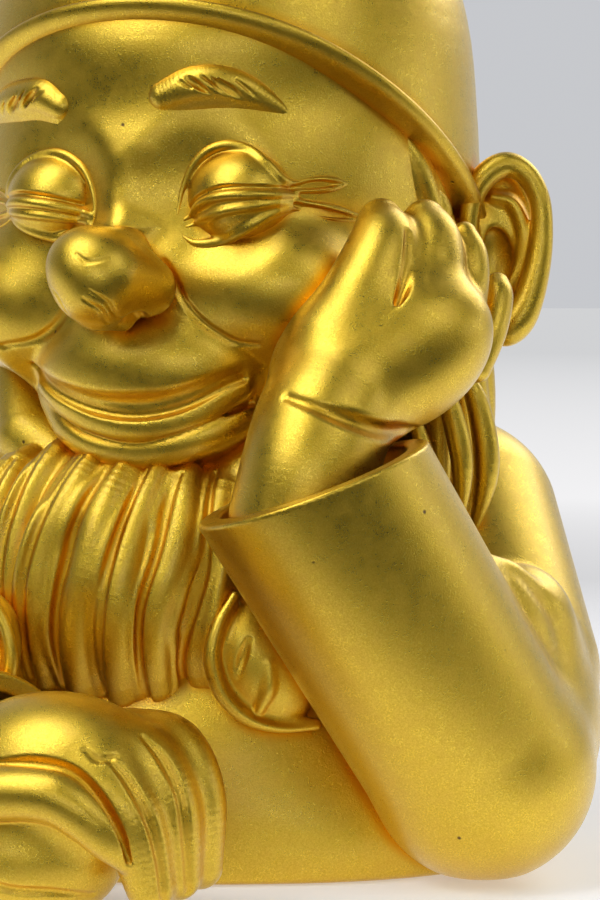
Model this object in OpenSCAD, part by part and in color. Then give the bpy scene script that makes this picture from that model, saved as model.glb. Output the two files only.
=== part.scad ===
// Garden gnome half-figure leaning on its elbows, cheek in one hand.
// Millimetres, +Z up, the table at Z = 0. The figure faces -Y.
// Left and right are the figure's own, so its left arm is on the +X side.

/* [Head] */
// Sideways place of the middle of the head
head_x = -6; // [-9:1:-3]
// Height of the middle of the head above the table
head_z = 158; // [155:1:161]
// Half width of the skull
skull_w = 61; // [59:1:63]
// Half height of the skull
skull_h = 68; // [66:1:70]
// Turn of the face towards the right shoulder, in degrees
head_turn = 24; // [21:1:27]
// Lean of the head towards the right shoulder, in degrees
head_lean = 3; // [1:1:5]
// Radius of the ball of the nose
nose_r = 12.5; // [11:0.5:14]

/* [Hat] */
// Height of the hat's point above the middle of the head
hat_tip_z = 154; // [140:2:160]
// Thickness of the hat over the skull
hat_t = 4; // [3:0.5:5]
// Slope of the rim, down towards the back, in degrees
rim_slope = 36; // [33:1:39]
// Height of the rim band
rim_h = 5; // [4:0.5:6]

/* [Arms] */
// Radius of a sleeve
sleeve_r = 28.5; // [27:0.5:30]
// Radius of the recess in a cuff that takes the wrist
cuff_bore_r = 22; // [20:0.5:23]
// Depth of that recess
cuff_depth = 14; // [10:1:18]
// Radius of a wrist
wrist_r = 16.5; // [14:0.5:18]

/* [Body] */
// Half width of the torso at the table
body_w = 78; // [74:1:82]
// Half depth of the torso at the table
body_d = 62; // [58:1:66]
// Wall thickness of the hollow castings
wall = 5; // [4:0.5:6]

/* [Base and pins] */
// Thickness of the felt sheet
felt_t = 1.5; // [1:0.5:2]
// Thickness of the closing plate
plate_t = 3.5; // [3:0.5:5]
// Radius of the filling hole in the plate
fill_r = 9; // [7:0.5:11]
// Radius of the dowels that locate the castings
pin_r = 3; // [2:0.5:4]

/* [Hidden] */
$fn = 24;
gold = "goldenrod";

// Arm joints, from the shoulder past the elbow to the middle of the cuff's mouth.
arm_left = [[55, 14, 83], [65, -22, 48], [60, -50, sleeve_r], [18, -84, 101]];
arm_right = [[-55, 14, 83], [-78, -16, 52], [-88, -44, sleeve_r], [-62, -88, 28]];
// Ways that the cuffs' mouths face, as the turn of +Z.
mouth_left = [3, -20, 0];
mouth_right = [90, 0, 32];

// Middles of the eyelids and lines of the brows, in the head's own axes.
lid_left = [26, -46.5, 10];
lid_right = [-22, -48.5, 12];
brow_left = [[15, -56, 36], [27, -51, 36], [39, -44, 28]];
brow_right = [[-20, -55, 37], [-32, -50, 37], [-43, -41, 30]];

// ---------- Shapes that repeat ----------

// An ellipsoid with half sizes r. The hull keeps its facets the same in every cut.
module blob(r, at = [0, 0, 0], turn = [0, 0, 0], fn = $fn)
    translate(at) rotate(turn) hull() scale(r) sphere(r = 1, $fn = fn);

// A limb of round links through the points, with a radius at each.
module limb(points, radii, fn = $fn)
    for (i = [0:len(points) - 2])
        hull() {
            translate(points[i]) sphere(r = radii[i], $fn = fn);
            translate(points[i + 1]) sphere(r = radii[i + 1], $fn = fn);
        }

// The body's outline at the table, drawn in by t. It has round ends.
module base_outline(t) {
    for (side = [-1, 1]) translate([side * (body_w - body_d), 0]) circle(r = body_d - t, $fn = 48);
    square([2 * (body_w - body_d), 2 * (body_d - t)], center = true);
}

module in_head()
    translate([head_x, 0, head_z]) rotate([0, 0, -head_turn]) rotate([0, -head_lean, 0]) children();

module above_table()
    intersection() {
        children();
        translate([-200, -200, 0]) cube([400, 400, 400]);
    }

// ---------- Solid forms, before hollowing and cutting ----------

module torso_form()
    above_table() {
        hull() {
            blob([60, 48, 38], [0, 6, 62]);
            translate([0, 0, 4]) linear_extrude(6) base_outline(0);
            linear_extrude(4) base_outline(2);
        }
        limb([[-53, 12, 80], [53, 12, 80]], [26, 26]);
    }

module head_form()
    in_head() {
        blob([skull_w, skull_w - 1, skull_h], fn = 32);
        blob([skull_w + 1, skull_w - 1, 60], [0, 2, 22], fn = 32);
        for (side = [-1, 1]) blob([25, 20, 19], [side * 31 - 1, -38, -13]);
        blob([31, 23, 21], [0, -41, -31]);
        blob([26, 17, 11], [0, -41, -47], fn = 20);
    }

module neck_form() translate([-4, 4, 74]) cylinder(r = 18, h = 22, $fn = 36);

module nose_form()
    in_head() {
        blob([nose_r, nose_r, nose_r - 0.5], [1.5, -73, -8.5]);
        for (side = [-1, 1]) blob([7, 8, 6.5], [side * 10.5 + 1.5, -62, -12], fn = 16);
        limb([[3, -58, 5], [2, -67, -2]], [7, 9], fn = 16);
    }

module eyelid_form(at) in_head() blob([14.5, 11, 11.5], at, fn = 20);

// A brow is thick at its inner end and runs out to a point.
module eyebrow_form(points) in_head() limb(points, [5.5, 5, 2.5], fn = 16);

module ear_form(side)
    in_head() translate([side * 74, 16, -5]) rotate([0, 0, side * head_turn]) difference() {
        blob([12, 9, 25]);
        blob([7.5, 9, 18], [0, -8, 2], fn = 20);
    }

// Everything above a plane along the rim's lower edge.
module above_rim(lift = 0)
    in_head() translate([0, 0, 12 + lift]) rotate([-rim_slope, 0, 0]) translate([-150, -150, 0])
        cube([300, 300, 300]);

// The hat's outside, with its point left off, grown by t.
module crown_form(t = 0)
    in_head() hull() for (z = [4, 44])
        blob([skull_w + hat_t + 2 + t, skull_w + hat_t - 1 + t, 60 + t], [2, 3, z], fn = 32);

module hat_form()
    intersection() {
        above_rim(rim_h);
        hull() {
            crown_form();
            in_head() translate([8, 26, hat_tip_z - 9]) sphere(r = 9, $fn = 16);
        }
    }

module rim_form()
    difference() {
        intersection() {
            above_rim();
            crown_form(2.5);
        }
        above_rim(rim_h);
    }

// The beard hangs from the jaw in thick locks that draw together at the bottom.
module beard_form()
    above_table() {
        translate([-30, -40, 0]) rotate([0, 0, -18]) {
            blob([41, 22, 20], [0, 0, 87]);
            blob([35, 22, 34], [0, -2, 74]);
            for (i = [-4:4])
                limb([[9.4 * i, i * i * 0.9 - 16, 94], [9 * i, i * i - 22, 77], [6.6 * i, i * i * 0.7 - 17, 48]],
                     [5.5, 6, 4.5], fn = 10);
        }
        in_head() for (side = [-1, 1])
            limb([[side * 18, -34, -60], [side * 40, -26, -46], [side * 49, -18, -26]], [14, 15, 10], fn = 14);
    }

module curl_form(x) blob([11, 9, 16], [x, -60, 56], [0, 12, 0], fn = 18);

module hair_form(side)
    in_head() {
        limb([[side * 58, -13, 13], [side * 61, 2, -12], [side * 61, 13, -50], [side * 57, 17, -80]],
             [6, 9, 10, 6], fn = 16);
    }

module hair_back_form()
    in_head() blob([50, 18, 38], [0, 42, -40]);

module arm_form(joints) above_table() limb(joints, [29, 27, sleeve_r - 1, sleeve_r]);

// The space past a cuff's mouth, with the recess that takes the wrist.
module cuff_cut(at, turn)
    translate(at) rotate(turn) {
        translate([-60, -60, 0]) cube([120, 120, 60]);
        translate([0, 0, -cuff_depth]) cylinder(r = cuff_bore_r, h = cuff_depth + 1, $fn = 36);
    }

module hand_left_form() {
    translate(arm_left[3]) rotate(mouth_left) translate([0, 0, 0.2 - cuff_depth])
        cylinder(r = wrist_r, h = cuff_depth + 6, $fn = 24);
    limb([[16, -84, 107], [20, -78, 118]], [wrist_r, wrist_r]);
    blob([30, 18, 22], [34, -67, 130], [0, -28, 0]);
    limb([[22, -68, 137], [30, -66, 151], [33, -61, 162]], [10, 9, 5.5], fn = 14);
    limb([[38, -66, 141], [47, -59, 152], [46, -51, 163]], [9, 8.5, 5.5], fn = 14);
    limb([[51, -58, 134], [57, -50, 147], [55, -42, 158]], [8, 7, 4.5], fn = 14);
    limb([[57, -50, 126], [63, -40, 136], [65, -36, 146]], [5.5, 6, 4.5], fn = 14);
}

module hand_right_form()
    above_table() {
        translate(arm_right[3]) rotate(mouth_right) translate([0, 0, 0.2 - cuff_depth])
            cylinder(r = wrist_r, h = cuff_depth + 6, $fn = 24);
        limb([[-58, -94, 28], [-53, -99, 29]], [wrist_r, wrist_r]);
        blob([27, 20, 18], [-44, -104, 33], [0, 0, -20]);
        limb([[-58, -116, 24], [-40, -123, 25], [-26, -122, 17]], [8, 7.5, 5], fn = 14);
        limb([[-38, -115, 38], [-26, -119, 28], [-23, -118, 7]], [9, 8, 7], fn = 14);
        limb([[-32, -107, 43], [-19, -111, 31], [-15, -111, 7]], [9, 8, 7], fn = 14);
        limb([[-28, -98, 43], [-12, -102, 32], [-8, -102, 8]], [9, 8, 7], fn = 14);
    }

// ---------- Dowels and their places ----------

module shoulder_dowel(side)
    translate([side * 48, 10, 60]) rotate([0, side * 90, 0]) cylinder(r = pin_r, h = 24);

module wrist_dowel(at, turn)
    translate(at) rotate(turn) translate([0, 0, -cuff_depth - 12]) cylinder(r = pin_r, h = 22);

module wrist_dowel_left() wrist_dowel(arm_left[3], mouth_left);

module wrist_dowel_right() wrist_dowel(arm_right[3], mouth_right);

module hat_pin() in_head() translate([0, 2, 72]) cylinder(r = pin_r, h = 20);

// ---------- The pieces ----------

module torso_shell()
    color(gold) difference() {
        torso_form();
        hull() {
            blob([60 - wall, 48 - wall, 38 - wall], [0, 6, 60]);
            translate([0, 0, -1]) linear_extrude(8) base_outline(wall);
        }
        head_form();
        neck_form();
        for (side = [-1, 1]) shoulder_dowel(side);
    }

module base_plate()
    color("dimgray") translate([0, 0, felt_t]) linear_extrude(plate_t) difference() {
        base_outline(wall);
        translate([0, 20]) circle(r = fill_r, $fn = 36);
    }

module base_felt()
    color("darkgreen") linear_extrude(felt_t) difference() {
        base_outline(wall);
        translate([0, 20]) circle(r = fill_r + 3, $fn = 36);
    }

module filler_bung()
    color("black") translate([0, 20, 0]) {
        translate([0, 0, felt_t]) cylinder(r = fill_r, h = plate_t + 3, $fn = 36);
        translate([0, 0, 0.3]) cylinder(r = fill_r + 2, h = felt_t - 0.3, $fn = 36);
    }

module head_shell()
    color(gold) difference() {
        union() {
            head_form();
            neck_form();
        }
        in_head() {
            blob([skull_w - wall, skull_w - wall, skull_h - wall]);
            blob([skull_w - wall, skull_w - wall, 60 - wall], [0, 2, 22]);
        }
        translate([-4, 4, 73]) cylinder(r = 12, h = 40, $fn = 28);
        hat_pin();
    }

module nose() color(gold) difference() { nose_form(); head_form(); }

module eyelid(at) color(gold) difference() { eyelid_form(at); head_form(); nose_form(); }

module eyebrow(points) color(gold) difference() { eyebrow_form(points); head_form(); }

module ear(side) color(gold) difference() { ear_form(side); head_form(); }

module hat_rim() color(gold) difference() { rim_form(); head_form(); ear_form(-1); ear_form(1); }

module hat_shell()
    color(gold) difference() {
        hat_form();
        head_form();
        ear_form(-1);
        ear_form(1);
        in_head() hull() {
            translate([4, 4, 54]) sphere(r = 46);
            translate([8, 24, hat_tip_z - 32]) sphere(r = 8);
        }
        hat_pin();
    }

module beard() color(gold) difference() { beard_form(); head_form(); neck_form(); torso_form(); }

module beard_curl(x) color(gold) difference() { curl_form(x); beard_form(); torso_form(); }

module hair_side(side)
    color(gold) difference() {
        hair_form(side);
        head_form();
        torso_form();
        ear_form(side);
        beard_form();
        above_rim(-0.3);
    }

module hair_back()
    color(gold) difference() {
        hair_back_form();
        head_form();
        neck_form();
        torso_form();
        above_rim(-0.3);
    }

module sleeve_left()
    color(gold) difference() {
        arm_form(arm_left);
        torso_form();
        head_form();
        beard_form();
        curl_form(2);
        hair_form(1);
        hair_back_form();
        cuff_cut(arm_left[3], mouth_left);
        shoulder_dowel(1);
        wrist_dowel_left();
    }

module sleeve_right()
    color(gold) difference() {
        arm_form(arm_right);
        torso_form();
        head_form();
        beard_form();
        curl_form(-64);
        hair_form(-1);
        hair_back_form();
        cuff_cut(arm_right[3], mouth_right);
        shoulder_dowel(-1);
        wrist_dowel_right();
    }

module hand_left()
    color(gold) difference() {
        hand_left_form();
        head_form();
        ear_form(1);
        hair_form(1);
        beard_form();
        rim_form();
        difference() {
            arm_form(arm_left);
            cuff_cut(arm_left[3], mouth_left);
        }
        wrist_dowel_left();
    }

module hand_right()
    color(gold) difference() {
        hand_right_form();
        torso_form();
        beard_form();
        wrist_dowel_right();
    }

module shoulder_dowels() color("silver") for (side = [-1, 1]) shoulder_dowel(side);

module wrist_dowels()
    color("silver") {
        wrist_dowel_left();
        wrist_dowel_right();
    }

module hat_dowel() color("silver") hat_pin();

torso_shell();
base_plate();
base_felt();
filler_bung();
head_shell();
nose();
eyelid(lid_left);  // eyelid_left
eyelid(lid_right);  // eyelid_right
eyebrow(brow_left);  // eyebrow_left
eyebrow(brow_right);  // eyebrow_right
ear(1);  // ear_left
ear(-1);  // ear_right
hat_shell();
hat_rim();
beard();
beard_curl(2);  // beard_curl_left
beard_curl(-64);  // beard_curl_right
hair_side(1);  // hair_left
hair_side(-1);  // hair_right
hair_back();
sleeve_left();
sleeve_right();
hand_left();
hand_right();
shoulder_dowels();
wrist_dowels();
hat_dowel();
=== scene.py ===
"""Gold garden gnome resting its head on one hand, modelled over its CAD frame."""
import math
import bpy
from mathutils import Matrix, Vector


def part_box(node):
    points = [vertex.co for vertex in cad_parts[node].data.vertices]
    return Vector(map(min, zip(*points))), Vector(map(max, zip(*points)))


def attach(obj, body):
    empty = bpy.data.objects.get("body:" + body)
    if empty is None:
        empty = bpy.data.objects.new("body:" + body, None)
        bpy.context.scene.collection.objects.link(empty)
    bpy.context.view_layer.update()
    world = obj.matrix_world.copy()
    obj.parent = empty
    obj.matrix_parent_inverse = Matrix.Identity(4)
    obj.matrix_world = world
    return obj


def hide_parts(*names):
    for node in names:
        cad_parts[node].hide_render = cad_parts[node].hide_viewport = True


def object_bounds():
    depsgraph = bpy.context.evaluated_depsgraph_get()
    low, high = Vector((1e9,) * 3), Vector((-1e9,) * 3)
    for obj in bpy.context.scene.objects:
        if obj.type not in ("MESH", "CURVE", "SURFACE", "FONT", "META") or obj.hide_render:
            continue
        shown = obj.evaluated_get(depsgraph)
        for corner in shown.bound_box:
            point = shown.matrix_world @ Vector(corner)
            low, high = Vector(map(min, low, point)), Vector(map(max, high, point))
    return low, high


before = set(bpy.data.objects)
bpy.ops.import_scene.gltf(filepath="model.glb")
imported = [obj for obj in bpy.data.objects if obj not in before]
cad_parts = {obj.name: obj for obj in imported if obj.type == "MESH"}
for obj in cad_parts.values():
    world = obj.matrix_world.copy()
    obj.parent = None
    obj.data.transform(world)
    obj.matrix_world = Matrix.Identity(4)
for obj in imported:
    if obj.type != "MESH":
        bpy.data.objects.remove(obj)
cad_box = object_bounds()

from concurrent.futures import ThreadPoolExecutor

import bpy
import numpy as np
import openvdb
from mathutils import Vector

MM = 0.001
COARSE = 1.0
FAR = 50.0                             # a distance that means nowhere near
BLOCK = 8                              # grid points along each side of a block
REACH = 8                              # how far past its own size a form is still worked out
POINTS_PER_PART = 40000                # shared out between threads in parts of about this many


# ---------- Sculpting: shapes as distances, in millimetres ----------

def turn_matrix(x=0.0, y=0.0, z=0.0):
    """Rotation about X, then Y, then Z, in degrees, for column vectors."""
    a, b, c = (math.radians(t) for t in (x, y, z))
    rx = np.array([[1, 0, 0], [0, math.cos(a), -math.sin(a)], [0, math.sin(a), math.cos(a)]])
    ry = np.array([[math.cos(b), 0, math.sin(b)], [0, 1, 0], [-math.sin(b), 0, math.cos(b)]])
    rz = np.array([[math.cos(c), -math.sin(c), 0], [math.sin(c), math.cos(c), 0], [0, 0, 1]])
    return (rz @ ry @ rx).astype(np.float32)


def blend_min(a, b, k):
    """The smaller of two distances, rounded over k where they are close."""
    h = np.maximum(k - np.abs(a - b), 0) / k
    return np.minimum(a, b) - h * h * k * 0.25


def through(points, steps=6):
    """More points along a smooth curve through the given rows of (x, y, z, radius)."""
    p = np.array(points, np.float32)
    if len(p) < 3:
        t = np.linspace(0, 1, steps + 1, dtype=np.float32)[:, None]
        return p[0] * (1 - t) + p[1] * t
    ends = np.vstack([2 * p[0] - p[1], p, 2 * p[-1] - p[-2]])
    rows = []
    for i in range(1, len(ends) - 2):
        a, b, c, d = ends[i - 1:i + 3]
        for s in range(steps):
            t = s / steps
            rows.append(0.5 * (2 * b + (c - a) * t + (2 * a - 5 * b + 4 * c - d) * t ** 2
                               + (3 * b - a - 3 * c + d) * t ** 3))
    rows.append(p[-1])
    return np.array(rows, np.float32)


def laid_on(base, points, radii, sink=0.0, steps=7):
    """Rope rows along a smooth line of (x, z), moved along Y onto the front of a base shape."""
    front, back, step = -140, 60, 0.25
    p = np.array(points, np.float32)
    r = np.interp(np.linspace(0, 1, len(p)), np.linspace(0, 1, len(radii)), radii)
    rows = through(np.column_stack([p[:, 0], np.zeros(len(p)), p[:, 1], r]), steps)
    depth = np.arange(front, back, step, dtype=np.float32)
    tries = np.repeat(rows[:, None, :3], len(depth), 1)
    tries[:, :, 1] = depth
    gap = base(tries.reshape(-1, 3)).reshape(len(rows), -1)
    hit = (gap < 0).any(1)
    rows, gap = rows[hit], gap[hit]
    first = (gap < 0).argmax(1)
    before = gap[np.arange(len(rows)), first - 1]
    after = gap[np.arange(len(rows)), first]
    rows[:, 1] = depth[first - 1] + step * before / (before - after) + sink
    return rows


class Clay:
    """Points in millimetres, with the distance of each one to the shape made so far."""

    def __init__(self, p, d=None):
        self.p = p
        self.d = np.full(len(p), FAR, np.float32) if d is None else d

    def seen_from(self, origin, turn):
        """The same clay in another frame, so that shapes can be placed in that frame."""
        return Clay((self.p - np.asarray(origin, np.float32)) @ turn, self.d)

    def near(self, middle, reach):
        """Which points lie within reach of the middle."""
        off = self.p - np.asarray(middle, np.float32)
        return np.flatnonzero(np.einsum("ij,ij->i", off, off) < reach * reach)

    def join(self, at, v, k, cut):
        """Adds a form's distances to the chosen points, or cuts the form away."""
        if cut:
            self.d[at] = -blend_min(-self.d[at], v, k)
        else:
            self.d[at] = blend_min(self.d[at], v, k)

    def blob(self, middle, radii, turn=None, k=1.0, cut=False):
        """Adds or cuts an ellipsoid, blended over k millimetres."""
        at = self.near(middle, max(radii) + k + REACH)
        q = self.p[at] - np.asarray(middle, np.float32)
        if turn is not None:
            q = q @ turn
        q = q / np.asarray(radii, np.float32)
        n = np.sqrt(np.einsum("ij,ij->i", q, q)) + 1e-6
        g = q / np.asarray(radii, np.float32)
        g = np.sqrt(np.einsum("ij,ij->i", g, g)) + 1e-6
        self.join(at, n * (n - 1) / g, k, cut)

    def rope(self, rows, k=1.0, cut=False):
        """Adds or cuts a round line through rows of (x, y, z, radius)."""
        rows = np.asarray(rows, np.float32)
        middle = (rows[:, :3].min(0) + rows[:, :3].max(0)) / 2
        reach = np.sqrt(((rows[:, :3] - middle) ** 2).sum(1)).max() + rows[:, 3].max() + k + REACH
        at = self.near(middle, reach)
        p = self.p[at]
        best = np.full(len(at), FAR, np.float32)
        for a, b in zip(rows[:-1], rows[1:]):
            span = b[:3] - a[:3]
            off = p - a[:3]
            t = np.clip(off @ span / max(span @ span, 1e-6), 0, 1)
            off -= t[:, None] * span
            radius = a[3] + t * (b[3] - a[3])
            np.minimum(best, np.sqrt(np.einsum("ij,ij->i", off, off)) - radius, out=best)
        self.join(at, best, k, cut)

    def plane(self, point, normal, k=0.8):
        """Cuts away what lies on the side that the normal points to."""
        n = np.asarray(normal, np.float32)
        n = n / np.linalg.norm(n)
        self.join(slice(None), -((self.p - np.asarray(point, np.float32)) @ n), k, True)


def in_threads(sculpt, points):
    """Distances at many points, shared between the processor's cores."""
    parts = np.array_split(points, max(1, len(points) // POINTS_PER_PART))
    with ThreadPoolExecutor(4) as pool:
        return np.concatenate(list(pool.map(sculpt, parts)))


def distance_grid(sculpt, low, high, cell):
    """Distances on a grid, worked out at every point only close to the surface."""
    blocks = np.ceil((high - low) / (cell * BLOCK)).astype(int)
    places = np.indices(blocks).reshape(3, -1).T.astype(np.float32)
    middles = low + (places * BLOCK + (BLOCK - 1) / 2) * cell
    coarse = in_threads(sculpt, middles.astype(np.float32))
    near_enough = 1.4 * cell * BLOCK    # a block whose middle is farther off holds no surface
    keep = np.flatnonzero(np.abs(coarse) < near_enough)
    step = np.indices((BLOCK,) * 3).reshape(3, -1).T.astype(np.float32)
    fine = (low + (places[keep][:, None] * BLOCK + step[None]) * cell).reshape(-1, 3)
    grid = np.repeat(coarse[:, None], BLOCK ** 3, 1)
    grid[keep] = in_threads(sculpt, fine.astype(np.float32)).reshape(len(keep), -1)
    grid = grid.reshape(*blocks, BLOCK, BLOCK, BLOCK).transpose(0, 3, 1, 4, 2, 5)
    return np.ascontiguousarray(grid.reshape(blocks * BLOCK), np.float32)


def slope(sculpt, points, step=0.12):
    """The outward direction at each point."""
    g = np.empty_like(points)
    for axis in range(3):
        move = np.zeros(3, np.float32)
        move[axis] = step
        g[:, axis] = in_threads(sculpt, points + move) - in_threads(sculpt, points - move)
    g /= 2 * step
    return g


sculpted = []


def sculpted_piece(name, node, sculpt, cell, material, margin):
    """Makes a mesh of a sculpted shape and puts it in the place of its CAD node."""
    low, high = (np.array(corner, np.float32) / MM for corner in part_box(node))
    low, high = low - margin, high + margin
    cell = cell * COARSE
    grid = openvdb.FloatGrid(background=FAR)
    grid.copyFromArray(distance_grid(sculpt, low, high, cell), ijk=(0, 0, 0), tolerance=0)
    points, quads = grid.convertToQuads(isovalue=0.0)
    points = (low + points * cell).astype(np.float32)
    for _ in range(2):
        g = slope(sculpt, points)
        d = in_threads(sculpt, points)
        square = np.maximum(np.einsum("ij,ij->i", g, g), 0.2)
        points -= g * np.clip(d / square, -cell, cell)[:, None]
    normals = slope(sculpt, points)
    normals /= np.linalg.norm(normals, axis=1)[:, None] + 1e-9
    mesh = bpy.data.meshes.new(name)
    mesh.vertices.add(len(points))
    mesh.vertices.foreach_set("co", (points * MM).ravel())
    mesh.loops.add(quads.size)
    mesh.loops.foreach_set("vertex_index", quads.astype(np.int32).ravel())
    mesh.polygons.add(len(quads))
    mesh.polygons.foreach_set("loop_start", np.arange(0, quads.size, 4, dtype=np.int32))
    mesh.update(calc_edges=True)
    mesh.validate()
    mesh.normals_split_custom_set_from_vertices(normals)
    mesh.materials.append(material)
    piece = bpy.data.objects.new(name, mesh)
    bpy.context.collection.objects.link(piece)
    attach(piece, "root")
    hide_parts(node)
    sculpted.append((piece, sculpt, points, normals, low, high))
    return piece


# ---------- Places, from the CAD boxes ----------

def middle(node):
    """The middle of a CAD node's box, in millimetres."""
    low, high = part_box(node)
    return np.array((low + high) / 2, np.float32) / MM


# Each group of forms has its own origin, at a fixed offset from the middle of its CAD node.
HEAD_AT = middle("head_shell") + np.array((3.4, 2.8, 1.0), np.float32)
HEAD_TURN = turn_matrix(0, -3, -24)
BEARD_AT = middle("beard") + np.array((-15.4, -11.9, -91.9), np.float32)
BEARD_TURN = turn_matrix(0, 0, -18)
ARM_LEFT_AT = middle("sleeve_left") - np.array((41.6, -34.8, 56.5), np.float32)
ARM_RIGHT_AT = middle("sleeve_right") - np.array((-76.0, -30.1, 55.9), np.float32)
HAND_LEFT_AT = middle("hand_left") - np.array((34.6, -66.2, 125.4), np.float32)
HAND_RIGHT_AT = middle("hand_right") - np.array((-42.2, -98.9, 26.0), np.float32)
NO_TURN = np.eye(3, dtype=np.float32)
RIM_UP = (0, 0.588, 0.809)
RIM_DOWN = (0, -0.588, -0.809)
HAT_SQUEEZE = np.array((0.955, 1, 1), np.float32)    # on the points, so the hat is wider than deep


# ---------- Head ----------

EYES = {
    "left": {
        "socket": ((27, -62, 12), (17, 9.5, 15)),
        "lid": ((28.4, -46.5, 9.4), (13.4, 12.6, 12.4)),
        "arc": [(14.8, 6), (16, 12), (18.8, 17.4), (22.8, 21), (27.8, 22.2), (33, 20.6), (38.2, 16.6),
                (42, 11.4)],
        "lash": [(16.6, 4.6), (22, 7.8), (28, 9.4), (34, 9.6), (42, 9)],
        "under": [(17.2, 2.8), (24, 4.8), (31, 6.2), (42, 7.4)],
        "brim": [(16.6, 0.4), (19.6, -1.4), (24, -1.4), (29, -0.2), (35, 2.4), (42, 6.4)],
        "feet": [[(42, 11), (45, 11.4), (48, 11.6), (51, 11.6)],
                 [(42, 7), (46, 5.4), (49, 4.4), (53.5, 3)]],
    },
    "right": {
        "socket": ((-20, -65, 14), (16, 9.5, 15)),
        "lid": ((-20, -49.5, 12.2), (13.4, 12.4, 11.6)),
        "arc": [(-7, 3.6), (-6, 8), (-7, 13.8), (-9.8, 18.8), (-14.6, 22.2), (-19.6, 23.2), (-25.4, 21.8),
                (-30.4, 17.8), (-33.6, 12.6)],
        "lash": [(-33.4, 11), (-26, 11.4), (-17, 10), (-7.4, 7)],
        "under": [(-33, 9.2), (-25, 8.4), (-16, 7), (-8, 5.4)],
        "brim": [(-32.6, 8), (-26, 4.6), (-18, 2.2), (-11.6, 2), (-7.4, 3.6)],
        "feet": [[(-33, 12), (-37, 13.6), (-41, 14.2), (-46, 14)],
                 [(-32.6, 8.8), (-37, 7.6), (-41.4, 7), (-47, 6)]],
    },
}


def skull_forms(h):
    """The bare head: skull, forehead, cheeks, muzzle and chin."""
    h.blob((0, 0, 0), (61, 60, 68))
    h.blob((0, 2, 22), (62, 60, 60), k=10)
    h.blob((1, 2, 48), (61, 61, 34), k=8)
    for side in (-1, 1):
        h.blob((31 * side - 1, -38, -13), (25, 20, 19), k=6)
    h.blob((0, -41, -31), (31, 23, 21), k=2.5)
    h.blob((0, -41, -47), (26, 17, 11), k=5)


def skull(p):
    h = Clay(p)
    skull_forms(h)
    return h.d


# The mouth's lines from corner to corner as (x, z), then their radii and how far they stand proud.
LIP_RECESS = laid_on(
    skull, [(-27, -32), (-18, -36.2), (-8, -39.6), (2, -41), (11, -40.4), (19, -38), (28, -34)],
    (0.8, 2.2, 2.8, 2.2, 0.8), -0.3)
LIP_LINE = laid_on(
    skull, [(-30, -29), (-26, -32.5), (-18, -37), (-8, -40.8), (2, -42.6), (11, -42), (19, -39.6), (28, -35)],
    (0.6, 1.2, 1.3, 1.2, 0.6), 0.6)
LOWER_LIP = laid_on(
    skull, [(-26, -35), (-18, -39.8), (-9, -43.6), (1, -45.6), (9, -45.2), (18, -42.6), (27, -38)],
    (1.4, 2.7, 3.2, 2.7, 1.4), 1.9)
JAW_STRAP = laid_on(
    skull, [(-38, -25), (-33, -32), (-25, -41.5), (-13, -49), (-1, -52), (8, -51.6), (18, -48.6), (27, -44),
            (36, -36)],
    (1.4, 2.6, 3.8, 4.2, 4.2, 3.8, 2.8), 2.2)
CHIN_GROOVE = laid_on(
    skull, [(-28, -36), (-18, -43), (-9, -46.8), (1, -48.6), (9, -48), (18, -45.4), (27, -41)],
    (0.6, 1.2, 1.3, 1.2, 0.6), -0.2)
SMILES = [laid_on(skull, points, (0.7, 1, 0.7), -0.3) for points in (
    [(12.4, -5.6), (14.2, -9), (15.5, -12.6), (17, -16), (20, -20), (24, -23.5), (28, -26), (33, -27)],
    [(-15, -13), (-16.5, -16), (-19, -19), (-22.5, -21.5), (-28, -23.5), (-36, -24.3)])]


def head(p):
    """The head, with the eye sockets, the mouth and the laughter lines, cut off under the hat."""
    clay = Clay(p)
    h = clay.seen_from(HEAD_AT, HEAD_TURN)
    skull_forms(h)
    h.blob((3, -57, 3.5), (9, 6, 4), k=4)
    for eye in EYES.values():
        h.blob(*eye["socket"], k=9, cut=True)
    h.rope([(8, -67, 14, 5), (11, -65.5, 3, 4)], k=8, cut=True)
    h.rope(JAW_STRAP, k=4)
    h.rope(CHIN_GROOVE, k=2, cut=True)
    h.rope(LIP_RECESS, k=3, cut=True)
    h.rope(LOWER_LIP, k=3)
    h.rope(LIP_LINE, k=1, cut=True)
    for crease in SMILES:
        h.rope(crease, k=1, cut=True)
    h.plane((0, 0, 15.5), RIM_UP)
    h.plane((0, 0, -74), (0, 0, -1))
    return clay.d


def nose_forms(h):
    """The nose's ball, wings, bridge and the strip below it."""
    h.blob((2, -73, -8.5), (12.2, 12.2, 12.2))
    h.blob((-1, -76, -5), (8, 7.5, 7.5), k=4)
    for side in (-1, 1):
        h.blob((8.4 * side + 1.5, -63, -11.5), (6.4, 8.4, 7.2), k=6)
    h.rope([(3, -54, 2, 4), (2, -63, -5, 9)], k=4)
    h.rope([(0, -72, -18, 3), (3, -64, -19, 3)], k=3)


def nose_base(p):
    h = Clay(p)
    nose_forms(h)
    return h.d


NOSE_NICKS = [laid_on(nose_base, points, (0.1, 0.35, 0.1), -0.2) for points in (
    [(2, -3), (5, -5), (9, -4.5)], [(5, -12), (8, -15), (8, -19)],
    [(3, -14), (6, -17), (5, -20)], [(-8, -10), (-5, -13), (-4, -17)])]


def nose(p):
    clay = Clay(p)
    h = clay.seen_from(HEAD_AT, HEAD_TURN)
    nose_forms(h)
    for side in (-1, 1):
        h.blob((7 * side + 1.5, -69, -18.6), (2.4, 4, 2.4), k=2, cut=True)
    for nick in NOSE_NICKS:
        h.rope(nick, k=1, cut=True)
    return clay.d


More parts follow.
